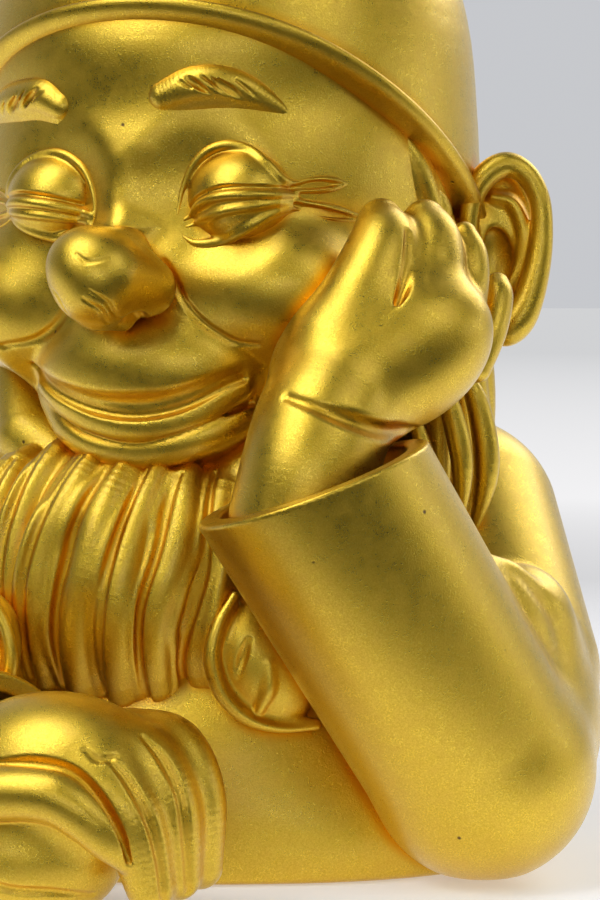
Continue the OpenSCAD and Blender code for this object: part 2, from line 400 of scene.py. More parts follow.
def eyelid(side):
    """A closed lid with its lashes, lower lid and the laughter lines beside it."""
    eye = EYES[side]

    def base(p):
        h = Clay(p)
        skull_forms(h)
        h.blob(*eye["socket"], k=9, cut=True)
        h.blob(*eye["lid"])
        return h.d

    ridges = [
        (laid_on(base, eye["lash"], (0.4, 1.2, 1.2, 1), 0), 0.8),
        (laid_on(base, eye["under"], (0.4, 1.1, 1.1, 1), 0.2), 0.8),
        (laid_on(base, eye["brim"], (0.4, 1.4, 1.5, 1), 0.3), 1.2),
        (laid_on(base, eye["arc"], (0.4, 1.2, 1.3, 1), 0.3), 1.2),
    ]
    feet = [(laid_on(base, foot, (1.6, 2.2, 2.2, 0.8), 1.1), laid_on(base, foot, (0.5, 1, 1, 0.3), -1.1))
            for foot in eye["feet"]]
    gap = laid_on(base, [(x, z + 1.9) for x, z in eye["lash"]], (0.3, 0.7, 0.7, 0.3), 0)

    def sculpt(p):
        clay = Clay(p)
        h = clay.seen_from(HEAD_AT, HEAD_TURN)
        h.blob(*eye["lid"])
        h.rope(gap, k=0.6, cut=True)
        for ridge, blend in ridges:
            h.rope(ridge, k=blend)
        for ribbon, groove in feet:
            h.rope(ribbon, k=1.5)
            h.rope(groove, k=0.8, cut=True)
        return clay.d

    return sculpt


BROWS = {
    "left": [(13, 35), (19.6, 37), (25.3, 37.2), (30.9, 35.4), (36.4, 31.8), (41.6, 27.6)],
    "right": [(-15.5, 34.5), (-20.5, 37.2), (-27.1, 37.6), (-34, 37), (-40, 35), (-46, 32)],
}


def eyebrow(side):
    """A raised brow with a few short hairs cut into it."""
    points = BROWS[side]
    way = 1 if side == "left" else -1
    pillow = laid_on(skull, points, (4.2, 5.2, 5.2, 4.6, 3, 1), 2.4)
    flange = laid_on(skull, [(x, z - 2) for x, z in points], (4.8, 5.8, 5.8, 5, 3.4, 1.2), 4.6)
    hairs = []
    for i in range(7):
        x = points[1][0] + way * (2.4 * i - 3 + 0.8 * math.sin(2.3 * i))
        line = [(x, 40.2 - 0.45 * i), (x + way * 2.4, 38 - 0.5 * i), (x + way * 5, 36.2 - 0.7 * i)]
        hairs.append(laid_on(skull, line, (0.15, 0.3 + 0.25 * (i % 3), 0.1), -2.7))

    def sculpt(p):
        clay = Clay(p)
        h = clay.seen_from(HEAD_AT, HEAD_TURN)
        h.rope(pillow)
        h.rope(flange, k=0.4)
        for hair_line in hairs:
            h.rope(hair_line, k=0.8, cut=True)
        return clay.d

    return sculpt


HELIX = through([(-10, 0, -1, 2.6), (-9.8, -2, 5.7, 2.6), (-8.3, -2, 13.5, 3), (-4.7, -1.5, 18.6, 3.3),
                 (0.5, -1, 21, 3.3), (5.4, -1, 18.4, 3), (8.5, -1, 12.2, 2.8), (9, -1, 4.4, 2.8),
                 (7.8, -1, -3.9, 3.2), (5.2, -1, -12.4, 3.8), (1.8, -1, -18.8, 4.4), (-2, -0.5, -21.5, 4),
                 (-5.5, 0, -18, 3.4)], 8)
ANTIHELIX = through([(-3, 2, 13, 1), (2, 1.5, 11, 1.6), (4.4, 1.4, 4, 1.8), (3.6, 1.6, -4, 1.8),
                     (0, 2, -10, 1.6)])


def ear(side):
    """An ear; side is 1 for its left one and -1 for its right one."""
    flip = np.array((side, 1, 1), np.float32)

    def sculpt(p):
        clay = Clay(p)
        h = clay.seen_from(HEAD_AT, HEAD_TURN)
        h.p = h.p * flip
        e = h.seen_from((74, 16, -5), turn_matrix(0, 0, 24))
        e.blob((-2, 4.6, 0), (10, 3.2, 21.5))
        e.blob((-9, 4, -3), (7, 5, 15), k=3)
        e.rope(HELIX, k=1.6)
        e.rope(ANTIHELIX, k=2)
        e.blob((-3.5, 2.6, -3), (4.6, 3, 8), k=2, cut=True)
        e.blob((-8.6, -0.5, -6), (2.6, 3, 4), k=2)
        return clay.d

    return sculpt


# ---------- Hat ----------

CROWN = through([(2, 3, -10, 63), (2, 3, 10, 63), (2, 3, 30, 63), (2, 3.6, 46, 62), (2.6, 5, 60, 57),
                 (3.6, 8.5, 75, 48.6), (4.6, 12.4, 88, 41.2), (5.3, 14.5, 95, 36.9), (6.1, 17.3, 104, 31.4),
                 (6.7, 19.5, 111, 27), (7.4, 22.2, 120, 21.4), (7.9, 24.4, 128, 16.8), (8.3, 26.2, 137, 12.2),
                 (8.5, 27, 145, 8.6)], 5)


def hat(p):
    """The hat above its rim, leaning back to a round point."""
    clay = Clay(p)
    h = clay.seen_from(HEAD_AT, HEAD_TURN)
    h.p = h.p * HAT_SQUEEZE
    h.rope(CROWN, k=0.5)
    h.plane((0, 0, 15), RIM_DOWN)
    return clay.d


def hat_rim(p):
    """The rolled rim: a slice of a slightly wider cylinder with its edges rounded."""
    clay = Clay(p)
    h = clay.seen_from(HEAD_AT, HEAD_TURN)
    h.p = h.p * HAT_SQUEEZE
    h.rope([(2, 3, -14, 65.4), (2, 3, 44, 65.4)], k=0.5)
    h.plane((0, 0, 17.4), RIM_UP, k=3.5)
    h.plane((0, 0, 12), RIM_DOWN, k=3.5)
    return clay.d


# ---------- Beard and hair ----------

# The beard's locks, and the thinner crests on them, from the jaw down as (x, z).
LOCKS = [
    [(-33, 103), (-37, 92), (-38, 76), (-34, 60)],
    [(-24, 106), (-29, 94), (-31, 76), (-29, 54)],
    [(-15, 108), (-19, 95), (-23, 80), (-24, 67), (-23, 52)],
    [(-4, 104), (-8, 95), (-13, 83), (-16, 70), (-16, 50)],
    [(5, 101), (2, 90), (-1, 78), (-4, 66), (-6, 47)],
    [(13, 101), (11, 90), (8, 78), (6, 66), (4, 44)],
    [(21, 101), (21, 90), (19, 78), (16, 66), (13, 42)],
    [(29, 101), (30, 86), (28, 71), (25, 58), (22, 42)],
    [(36, 98), (37, 84), (35, 68), (30, 50)],
]
CRESTS = [
    [(-29, 104), (-33, 94), (-35, 77), (-32, 58)],
    [(-20, 107), (-24, 94), (-27, 78), (-26, 52)],
    [(-8, 107), (-13.5, 96), (-18, 83), (-20, 70), (-20, 50)],
    [(0.5, 103), (-3.5, 95), (-7.5, 85), (-10.5, 73), (-12, 62), (-12, 48)],
    [(9, 102), (6.5, 93), (4, 81), (1, 66), (-1, 46)],
    [(17, 101), (16, 91), (14.5, 81), (11, 66), (9, 44)],
    [(25, 101), (26, 90), (25, 78), (21, 64), (18.5, 54), (17, 42)],
    [(33.5, 100), (34, 88), (32, 72), (28, 56), (26, 44)],
]


def beard_forms(b):
    b.blob((0, 3, 86), (40, 20, 22))
    b.blob((0, 1, 72), (36, 22, 31), k=4)


def beard_base(p):
    b = Clay(p)
    beard_forms(b)
    return b.d


BEARD_LOCKS = [laid_on(beard_base, [(x + 0.7 * math.sin(0.17 * z + 0.3 * x), z) for x, z in rows],
                       (3.4, 4.8 + 0.8 * math.sin(2.1 * i), 5.2, 5 - 0.8 * math.sin(2.1 * i), 4.4), 1.2)
               for i, rows in enumerate(LOCKS)]


def beard_waves(p):
    """The beard with its locks only, which the crests and furrows lie on."""
    b = Clay(p)
    beard_forms(b)
    for rows in BEARD_LOCKS:
        b.rope(rows, k=1.6)
    return b.d


BEARD_CRESTS = [laid_on(beard_waves, [(x + 0.8 * math.sin(0.15 * z + x), z) for x, z in rows],
                        (0.5, 1.3, 1.0 + 0.4 * (i % 2), 0.9), 0.1) for i, rows in enumerate(CRESTS)]
BEARD_FURROWS = [laid_on(beard_waves, [(x + 2.4 + 0.5 * math.sin(0.1 * z + x), z) for x, z in rows],
                         (0.4, 1.1, 1.1, 0.8), 0) for rows in CRESTS]


def beard(p):
    clay = Clay(p)
    b = clay.seen_from(BEARD_AT, BEARD_TURN)
    beard_forms(b)
    for rows in BEARD_LOCKS:
        b.rope(rows, k=1.6)
    for rows in BEARD_CRESTS:
        b.rope(rows, k=1.8)
    for rows in BEARD_FURROWS:
        b.rope(rows, k=1.2, cut=True)
    h = clay.seen_from(HEAD_AT, HEAD_TURN)
    for side in (-1, 1):
        for spread in (-6, 0, 6):
            h.rope([(side * 18, -37 + spread * 0.4, -64, 10), (side * 40, -27 + spread, -48, 10),
                    (side * 49, -18 + spread * 0.8, -28, 7)], k=1.5)
    clay.plane((0, 0, 39.5), (0, 0, -1), k=3)
    return clay.d


def curl(side):
    """The leaf-shaped lock at the beard's foot; side is 1 for its left one and -1 for its right one."""
    at = middle("beard_curl_left" if side > 0 else "beard_curl_right")
    flip = np.array((side, 1, 1), np.float32)

    def sculpt(p):
        clay = Clay(p)
        c = clay.seen_from(at, NO_TURN)
        c.p = c.p * flip
        c.blob((1, 4, 0), (11, 9.4, 16.5), turn_matrix(0, -14, 0))
        c.blob((8, 5, -4), (10, 8, 14), k=4)
        outline = [(-3, -4, 15.5, 1.2), (-7, -6, 8, 1.6), (-8.5, -6.5, 0, 1.8), (-6, -5.5, -8, 1.8),
                   (0, -4, -14, 1.7), (8, -2, -16.5, 1.5), (17, 1, -16.5, 1.2)]
        c.rope(through([(x, y + 0.9, z, r + 0.3) for x, y, z, r in outline]), k=3)
        c.rope(through([(x + 3, y - 0.2, z + 0.8, 0.8) for x, y, z, _ in outline]), k=1.8, cut=True)
        c.rope(through([(0.5, -5.2, 5, 0.7), (-1.2, -5.4, 0.5, 1.4), (-2.4, -5, -4, 0.6)]), k=0.9, cut=True)
        c.rope(through([(5.5, -4, -1, 0.8), (5.4, -4, -7, 1.5), (3, -3, -12.5, 0.7)]), k=1.6)
        return clay.d

    return sculpt


EAR_LOCKS = [through(rows) for rows in (
    [(54, -19, 28, 3), (56, -15, 18, 3.6), (58.5, -10, 8, 3.6), (59.5, -5, 0, 1.6)],
    [(57, -13, 26, 2.6), (60, -8, 16, 3.4), (62.5, -3, 6, 3.2), (63, 1, -2, 1.2)],
    [(61.5, -9, 12, 1.4), (64, -5, 6, 2.8), (64.5, -1, 0, 1.2)],
    [(62, -10, -32, 1), (65.5, -7, -46, 2.8), (67, -5, -60, 2.8), (64, -2, -76, 1)],
    [(66, -1, -34, 1.4), (69.5, 2, -46, 3), (70, 4, -62, 3.2), (65, 5, -78, 1)],
    [(58, -15, -44, 1), (60, -12, -58, 2.4), (60, -9, -72, 1)])]


def hair(side):
    """The lock in front of an ear, down past the jaw."""
    flip = np.array((side, 1, 1), np.float32)
    spine = [(55, -14, 24), (59, -9, 12), (61, 2, -10), (61.5, 11, -34), (60.5, 14, -58), (57, 17, -82)]
    strands = [(-4.5, -0.5, 3.4), (-1.2, 2.2, 3.6), (2.6, 2.2, 3.8), (6, 1, 4), (-7.5, -3, 3)]
    locks = []
    for n, (back, out, r) in enumerate(strands):
        rows = []
        for i, (x, y, z) in enumerate(spine):
            wave = 1.2 * math.sin(1.9 * i + n)
            size = r * (0.8, 1, 1.1, 1.2, 1.1, 0.6)[i]
            rows.append((x + out + 0.4 * wave, y + back * (0.75 + 0.1 * i) + wave, z, size))
        locks.append(through(rows))

    def sculpt(p):
        clay = Clay(p)
        h = clay.seen_from(HEAD_AT, HEAD_TURN)
        h.p = h.p * flip
        for rows in locks:
            h.rope(rows, k=0.7)
        for rows in EAR_LOCKS:
            h.rope(rows, k=0.5)
        return clay.d

    return sculpt


def hair_back(p):
    """Wavy strands side by side, from under the hat down over the nape."""
    clay = Clay(p)
    h = clay.seen_from(HEAD_AT, HEAD_TURN)
    h.blob((0, 16, -38), (52, 39, 40))
    for i in range(-10, 11):
        thickness = 4.7 + 0.5 * math.sin(2.4 * i)
        rows = []
        for j in range(6):
            turn = math.radians(9.6 * i + 3 * math.sin(1.7 * j + i))
            across = (57 - 1.6 * j) * math.sin(turn)
            back = 14 + (43 - 1.2 * j) * math.cos(turn)
            rows.append((across, back, -10 - 12 * j, thickness))
        h.rope(through(rows), k=1.2)
    return clay.d


# ---------- Body and arms ----------

TORSO_AT = middle("torso_shell") - np.array((0, 0, 52.9), np.float32)


def torso(p):
    """The coat body, wider at the foot and full in front."""
    clay = Clay(p - TORSO_AT)
    clay.blob((0, 6, 62), (60, 48, 38))
    clay.rope([(-53, 12, 80, 26), (53, 12, 80, 26)], k=6)
    for side in (-1, 1):
        clay.blob((16 * side, 0, 9), (62.4, 61.6, 36), k=6)
    clay.blob((-6, -23, 14), (57, 40, 58), k=8)
    clay.blob((0, 5, 36), (59, 50, 50), k=10)
    clay.plane((0, 0, 0), (0, 0, -1), k=2.5)
    return clay.d


# Shoulder, upper arm, elbow and cuff, as (x, y, z, radius).
ARM_LEFT = [(55, 14, 83, 29), (65, -22, 48, 27), (60, -57, 28.5, 27.5), (18, -84, 101, 28.5)]
ARM_RIGHT = [(-55, 14, 83, 29), (-78, -16, 52, 27), (-88, -44, 28.5, 27), (-62, -88, 28, 28.5)]


def cuff(clay, at, turn):
    """The flat mouth of a sleeve, with the hollow that the wrist goes into."""
    c = clay.seen_from(at, turn_matrix(*turn))
    c.plane((0, 0, 0), (0, 0, 1), k=1.2)
    c.rope([(0, 0, 9, 23.5), (0, 0, -1.5, 23.5)], k=1.2, cut=True)


def forearm_forms(clay):
    """The raised arm, thickened inside the elbow."""
    clay.rope([*ARM_LEFT[:3]], k=0.5)
    clay.rope([ARM_LEFT[2], (14.5, -86.8, 107, 28.8)], k=2.5)
    clay.blob((62, -38, 35), (27, 27, 27), k=6)


ELBOW_FOLDS_LEFT = [
    through([(62, -62, 77, 2.2), (67.5, -59, 71, 3.8), (72, -57, 61, 4.4), (75, -55, 49, 1.6)]),
    through([(60, -62, 80, 1.6), (67, -57, 77, 2.4), (74, -52, 70, 2.4), (80, -47, 62, 1)]),
]
ELBOW_FOLD_RIGHT = through([(-60, -44, 50, 1.2), (-66, -46, 56, 2.6), (-76, -46, 58, 2.8),
                            (-86, -42, 56, 1.2)])


def sleeve_left(p):
    clay = Clay(p - ARM_LEFT_AT)
    forearm_forms(clay)
    clay.blob((69, -44, 61), (15, 14, 17), k=8)
    for rows in ELBOW_FOLDS_LEFT:
        clay.rope(rows, k=3.5)
    cuff(clay, (18, -84, 101), (3, -20, 0))
    clay.plane((0, 0, 1.2), (0, 0, -1), k=2)
    return clay.d


def sleeve_right(p):
    clay = Clay(p - ARM_RIGHT_AT)
    clay.rope([*ARM_RIGHT[:3]], k=0.5)
    clay.rope([ARM_RIGHT[2], (-58.5, -94, 28, 28.8)], k=2.5)
    clay.blob((-82, -30, 40), (27, 27, 27), k=6)
    clay.rope(ELBOW_FOLD_RIGHT, k=3)
    cuff(clay, (-62, -88, 28), (90, 0, 32))
    clay.plane((0, 0, 0.2), (0, 0, -1), k=2)
    return clay.d


FINGERS_LEFT = [
    [(24, -72, 135, 10.6), (31, -71, 146, 10.2), (35, -67, 156.5, 8.6), (34.6, -62, 163, 5.6)],
    [(40.6, -68, 135, 9.6), (45.6, -66, 146, 9), (47, -61, 157, 7.6), (45.5, -57, 163, 5.4)],
    [(52, -61, 134, 6), (56, -58.5, 145, 4.9), (57, -55, 154, 4.2), (55.5, -52, 160, 3)],
    [(58.5, -55, 127, 3.6), (62, -52, 136, 4), (64, -48, 144, 3.8), (64, -45, 147.5, 3)],
]
GAPS_LEFT = [
    [(35.4, -81, 138, 0.5), (38.6, -80, 144, 1.2), (41, -77, 152, 1.3), (41.2, -72, 160, 0.9)],
    [(48, -74, 131, 0.6), (51.4, -71, 138, 1.5), (53, -68, 147, 1.4), (53.2, -62, 156, 1)],
    [(56, -66, 121, 0.6), (59, -62, 129, 1.4), (61, -58, 138, 1.3), (61.5, -55, 146, 0.9)],
]


WRIST_LEFT = through([(15, -83, 92, 17), (17.5, -83, 104, 16.6), (20.5, -79, 114, 16.6),
                      (26, -71, 124, 17)], 10)


def palm_forms(clay):
    """The raised hand without its fingers."""
    clay.rope(WRIST_LEFT, k=2)
    clay.blob((35, -67, 131), (28, 18, 20), turn_matrix(0, -24, 0), k=5)


def palm(p):
    clay = Clay(p)
    palm_forms(clay)
    return clay.d


WRIST_CREASE = laid_on(palm, [(12, 121.5), (18, 119.5), (26, 116.5), (36, 113), (44, 112.5)],
                       (0.2, 0.8, 1.6, 1.4, 0.4), 0)


def hand_left(p):
    clay = Clay(p - HAND_LEFT_AT)
    palm_forms(clay)
    for rows in FINGERS_LEFT:
        clay.rope(through(rows, 14), k=3.6)
    for rows in GAPS_LEFT:
        clay.rope(through(rows, 8), k=1.4, cut=True)
    clay.rope(WRIST_CREASE, k=2.4, cut=True)
    return clay.d


FINGERS_RIGHT = [
    [(-38, -106, 35, 8), (-31, -113, 34.5, 8.6), (-23.5, -117, 25, 7.8), (-19.5, -116, 10, 5.8)],
    [(-31, -99, 38, 8), (-22, -106, 38, 8.4), (-15.5, -110, 27, 7.6), (-13.5, -109.5, 11, 5.6)],
    [(-25, -92, 40, 8), (-15, -99, 39, 7.8), (-9.5, -102, 28, 7.2), (-8.5, -102, 12, 5.4)],
]
WRIST_RIGHT = through([(-68, -80, 28, 17), (-58, -94, 28, 17), (-50, -100, 29, 16)])
THUMB = through([(-64, -112, 30, 6), (-55, -117, 31.5, 6.4), (-47, -119.5, 32, 6.4), (-40, -121, 31, 6.6),
                 (-34, -122, 27, 6), (-29, -122, 22, 5), (-25, -121, 17, 3)], 10)


def knuckle_forms(clay):
    """The resting hand without its thumb and creases."""
    clay.rope(WRIST_RIGHT, k=2)
    clay.blob((-42, -101, 33), (28, 19.5, 20), turn_matrix(0, 0, -20), k=4)
    clay.blob((-50, -103, 15), (24, 15.5, 17), k=4)
    for rows in FINGERS_RIGHT:
        clay.rope(through(rows, 10), k=3)


def knuckles(p):
    clay = Clay(p)
    knuckle_forms(clay)
    return clay.d


CREASES_RIGHT = [
    laid_on(knuckles, [(-29, 40.5), (-24, 35), (-19.5, 27), (-17, 18), (-16, 7)],
            (0.3, 1.1, 1.3, 1.2, 0.8), -0.2),
    laid_on(knuckles, [(-21, 44), (-16.5, 39), (-12.5, 31), (-11, 20), (-10.5, 8)],
            (0.3, 1.1, 1.2, 1.1, 0.8), -0.2),
    laid_on(knuckles, [(-55, 38.5), (-46, 39), (-38, 37.5), (-32, 32.5), (-26.5, 24), (-24, 17)],
            (0.4, 1.4, 1.4, 1.3, 1.2, 0.5), -0.3),
    laid_on(knuckles, [(-60, 13), (-52, 9.5), (-42, 8.5), (-33, 7)], (0.3, 0.9, 0.9, 0.3), -0.1),
    laid_on(knuckles, [(-34, 42), (-31, 40), (-27, 40.6)], (0.2, 0.7, 0.2), -0.2),
]


def hand_right(p):
    clay = Clay(p - HAND_RIGHT_AT)
    knuckle_forms(clay)
    clay.rope(THUMB, k=1.2)
    for rows in CREASES_RIGHT:
        clay.rope(rows, k=1.2, cut=True)
    clay.plane((0, 0, 0.3), (0, 0, -1), k=2)
    return clay.d


# ---------- Materials ----------

GOLD = (0.70, 0.452, 0.02)
FLAKE = (0.87, 0.62, 0.06)
WORN_GOLD = (0.80, 0.50, 0.05)
# painted shade: the deeper amber painted into creases, for the shade and the light bounced between gold
# surfaces there
CREASE_SHADE_GOLD = (0.78, 0.42, 0.008)
# painted shade: the dark brown painted inside the pits
PIT_SHADE_BROWN = (0.16, 0.08, 0.01)
PALE_PAPER = (0.86, 0.86, 0.87)
# painted darkness: the floor's colour far off, under its glow, and in front where only reflections see it
PAINTED_DARK_FLOOR = (0.02, 0.02, 0.02)
NEAR_GLOW = (0.86, 0.855, 0.865)
SKYLINE_GLOW = (0.60, 0.605, 0.615)
DARK_STUDIO = (0.03, 0.03, 0.033)
BACKDROP = (0.57, 0.58, 0.605)


def new_material(name):
    """A new material, with its nodes, its links and its shader."""
    material = bpy.data.materials.new(name)
    material.use_nodes = True
    nodes = material.node_tree.nodes
    return material, nodes, material.node_tree.links, nodes["Principled BSDF"]


def noise(nodes, links, place, scale, detail=3.0, roughness=0.5):
    """A noise texture's value, at a scale in waves to the metre."""
    texture = nodes.new("ShaderNodeTexNoise")
    texture.inputs["Scale"].default_value = scale
    texture.inputs["Detail"].default_value = detail
    texture.inputs["Roughness"].default_value = roughness
    links.new(place, texture.inputs["Vector"])
    return texture.outputs["Fac"]


def remap(nodes, links, value, low, high, to_low, to_high):
    """A value moved from one range to another, held at the ends."""
    node = nodes.new("ShaderNodeMapRange")
    for socket, number in zip(("From Min", "From Max", "To Min", "To Max"), (low, high, to_low, to_high)):
        node.inputs[socket].default_value = number
    links.new(value, node.inputs["Value"])
    return node.outputs["Result"]


def sums(nodes, links, operation, first, second):
    """One operation on two values, each a number or another node's output."""
    node = nodes.new("ShaderNodeMath")
    node.operation = operation
    for socket, value in zip(node.inputs, (first, second)):
        if isinstance(value, (int, float)):
            socket.default_value = value
        else:
            links.new(value, socket)
    return node.outputs["Value"]


def mix_colour(nodes, links, factor, first, second):
    """A mix of two colours, each a fixed one or another node's output."""
    node = nodes.new("ShaderNodeMix")
    node.data_type = "RGBA"
    links.new(factor, node.inputs["Factor"])
    for socket, value in ((node.inputs["A"], first), (node.inputs["B"], second)):
        if isinstance(value, tuple):
            socket.default_value = (*value, 1)
        else:
            links.new(value, socket)
    return node.outputs["Result"]


def gold_paint(name, grain):
    """Gold lacquer with fine flakes and a few tiny pits, with amber shade painted into its creases and dark
    shade painted into its pits.
    """
    material, nodes, links, shader = new_material(name)
    place = nodes.new("ShaderNodeTexCoord").outputs["Object"]
    crease_shade = nodes.new("ShaderNodeAttribute")
    crease_shade.attribute_name = "crease_shade"
    wobble = noise(nodes, links, place, 45)
    mottle = noise(nodes, links, place, 300, 2, 0.5)
    flakes = noise(nodes, links, place, 2400, 2, 0.8)
    flake_shine = remap(nodes, links, flakes, 0.35, 0.68, 0, 1)
    flat = mix_colour(nodes, links, flake_shine, GOLD, FLAKE)
    worn = mix_colour(nodes, links, remap(nodes, links, mottle, 0.42, 0.75, 0, 0.3), flat, WORN_GOLD)
    # Painted shade: the more closed in a point is, the deeper amber its colour, for the shade and the bounced
    # light in creases.
    deep = remap(nodes, links, crease_shade.outputs["Fac"], 0.12, 0.85, 0, 1)
    crease_shaded = mix_colour(nodes, links, deep, worn, CREASE_SHADE_GOLD)
    pits = nodes.new("ShaderNodeTexVoronoi")
    pits.inputs["Scale"].default_value = 110
    links.new(place, pits.inputs["Vector"])
    chosen = nodes.new("ShaderNodeSeparateColor")
    links.new(pits.outputs["Color"], chosen.inputs["Color"])
    hole = sums(nodes, links, "MULTIPLY", remap(nodes, links, pits.outputs["Distance"], 0.03, 0.07, 1, 0),
                remap(nodes, links, chosen.outputs["Red"], 0.8, 0.82, 0, 1))
    # Painted shade: the pits are painted dark brown inside, besides being dented by the bump below.
    links.new(mix_colour(nodes, links, hole, crease_shaded, PIT_SHADE_BROWN), shader.inputs["Base Color"])
    rough = sums(nodes, links, "ADD", remap(nodes, links, flakes, 0.3, 0.7, 0.44, 0.24),
                 remap(nodes, links, mottle, 0.35, 0.7, -0.03, 0.06))
    links.new(rough, shader.inputs["Roughness"])
    shader.inputs["Metallic"].default_value = 1.0
    shader.inputs["Coat Weight"].default_value = 0.6
    shader.inputs["Coat Roughness"].default_value = 0.3
    shader.inputs["Coat IOR"].default_value = 1.45
    height = sums(nodes, links, "MULTIPLY", wobble, 0.5)
    height = sums(nodes, links, "ADD", height, sums(nodes, links, "MULTIPLY", mottle, 0.03 * grain ** 2))
    height = sums(nodes, links, "ADD", height, sums(nodes, links, "MULTIPLY", flakes, 0.22 * grain))
    height = sums(nodes, links, "SUBTRACT", height, sums(nodes, links, "MULTIPLY", hole, 0.25))
    bump = nodes.new("ShaderNodeBump")
    bump.inputs["Strength"].default_value = 1.0
    bump.inputs["Distance"].default_value = 0.0004
    links.new(height, bump.inputs["Height"])
    links.new(bump.outputs["Normal"], shader.inputs["Normal"])
    return material


def plain_material(name, first, second, scale, rough, metal, depth, sheen=0.0):
    """A two-toned, slightly uneven material with a fine relief."""
    material, nodes, links, shader = new_material(name)
    place = nodes.new("ShaderNodeTexCoord").outputs["Object"]
    grain = noise(nodes, links, place, scale, 5, 0.7)
    links.new(mix_colour(nodes, links, remap(nodes, links, grain, 0.35, 0.65, 0, 1), first, second),
              shader.inputs["Base Color"])
    links.new(remap(nodes, links, grain, 0.3, 0.7, rough - 0.08, rough + 0.08), shader.inputs["Roughness"])
    shader.inputs["Metallic"].default_value = metal
    shader.inputs["Sheen Weight"].default_value = sheen
    bump = nodes.new("ShaderNodeBump")
    bump.inputs["Strength"].default_value = 0.8
    bump.inputs["Distance"].default_value = depth
    links.new(grain, bump.inputs["Height"])
    links.new(bump.outputs["Normal"], shader.inputs["Normal"])
    return material


def floor_material():
    """Pale paper that glows, a little near the object and more towards the skyline, which is painted light
    from a floor that is no lamp; the gold mirrors its front part as a dark studio, painted darkness that only
    reflections see.
    """
    near_glow = 0.36
    material, nodes, links, shader = new_material("floor")
    place = nodes.new("ShaderNodeTexCoord").outputs["Object"]
    length = nodes.new("ShaderNodeVectorMath")
    length.operation = "LENGTH"
    links.new(place, length.inputs[0])
    parts = nodes.new("ShaderNodeSeparateXYZ")
    links.new(place, parts.inputs["Vector"])
    far = remap(nodes, links, length.outputs["Value"], 0.45, 1.3, 0, 1)
    seen = nodes.new("ShaderNodeLightPath").outputs["Is Camera Ray"]
    # Painted darkness: for every ray but the camera's the floor's front is dark, so the gold mirrors a dark
    # studio there.
    front = sums(nodes, links, "MULTIPLY", remap(nodes, links, parts.outputs["Y"], -0.13, -0.19, 0, 0.97),
                 remap(nodes, links, seen, 0, 1, 1, 0))
    dark = sums(nodes, links, "MAXIMUM", far, front)
    links.new(mix_colour(nodes, links, dark, PALE_PAPER, PAINTED_DARK_FLOOR), shader.inputs["Base Color"])
    # Painted light: the far floor glows, stronger with distance, in place of being lit by the lamps.
    skyline = remap(nodes, links, length.outputs["Value"], 1.2, 4.5, 0, 1)
    links.new(mix_colour(nodes, links, skyline, NEAR_GLOW, SKYLINE_GLOW), shader.inputs["Emission Color"])
    back = sums(nodes, links, "MAXIMUM", remap(nodes, links, parts.outputs["Y"], -0.3, 0.3, 0, 1), seen)
    # Painted light: the floor near the object glows, which brightens the gold's undersides and softens its
    # contact shadow.
    glow = sums(nodes, links, "MAXIMUM", remap(nodes, links, parts.outputs["Y"], -0.19, -0.13, 0, near_glow),
                remap(nodes, links, seen, 0, 1, 0, near_glow))
    links.new(sums(nodes, links, "MAXIMUM", sums(nodes, links, "MULTIPLY", far, back), glow),
              shader.inputs["Emission Strength"])
    shader.inputs["Roughness"].default_value = 0.9
    return material


# ---------- The pieces ----------

gold = gold_paint("gold_paint", 1.0)
rough_gold = gold_paint("gold_paint_rough", 1.7)
ROUGH_PIECES = ("Torso", "Beard")
WIDE_PIECES = ("Eyelid_Left", "Eyelid_Right", "Hair_Back")

# Name, the CAD node that it replaces, its shape and the size of its mesh cells.
PIECES = [
    ("Head", "head_shell", head, 0.7),
    ("Nose", "nose", nose, 0.5),
    ("Eyelid_Left", "eyelid_left", eyelid("left"), 0.38),
    ("Eyelid_Right", "eyelid_right", eyelid("right"), 0.38),
    ("Eyebrow_Left", "eyebrow_left", eyebrow("left"), 0.45),
    ("Eyebrow_Right", "eyebrow_right", eyebrow("right"), 0.45),
    ("Ear_Left", "ear_left", ear(1), 0.5),
    ("Ear_Right", "ear_right", ear(-1), 0.5),
    ("Hat", "hat_shell", hat, 0.95),
    ("Hat_Rim", "hat_rim", hat_rim, 0.7),
    ("Beard", "beard", beard, 0.65),
    ("Beard_Curl_Left", "beard_curl_left", curl(1), 0.5),
    ("Beard_Curl_Right", "beard_curl_right", curl(-1), 0.5),
    ("Hair_Left", "hair_left", hair(1), 0.55),
    ("Hair_Right", "hair_right", hair(-1), 0.55),
    ("Hair_Back", "hair_back", hair_back, 0.7),
    ("Torso", "torso_shell", torso, 1.0),
    ("Sleeve_Left", "sleeve_left", sleeve_left, 0.8),
    ("Sleeve_Right", "sleeve_right", sleeve_right, 0.9),
    ("Hand_Left", "hand_left", hand_left, 0.55),
    ("Hand_Right", "hand_right", hand_right, 0.55),
]
for name, node, sculpt, cell in PIECES:
    paint = rough_gold if name in ROUGH_PIECES else gold
    margin = 20 if name in WIDE_PIECES else 6    # room around the CAD node's box
    sculpted_piece(name, node, sculpt, cell, paint, margin)


def set_crease_shade(reach=2.6):
    """Stores on each point how closed in it is by its own piece and the ones around it, which sets how much
    amber shade the gold paint paints there.
    """
    for piece, _, points, normals, low, high in sculpted:
        out = points + normals * reach
        gap = np.full(len(out), reach, np.float32)
        for _, other, _, _, other_low, other_high in sculpted:
            if (other_low > high).any() or (other_high < low).any():
                continue
            at = np.flatnonzero(((out > other_low) & (out < other_high)).all(1))
            if len(at):
                gap[at] = np.minimum(gap[at], in_threads(other, out[at]))
        crease_shade = np.clip(1 - gap / reach, 0, 1).astype(np.float32)
        piece.data.attributes.new("crease_shade", "FLOAT", "POINT").data.foreach_set("value", crease_shade)


set_crease_shade()

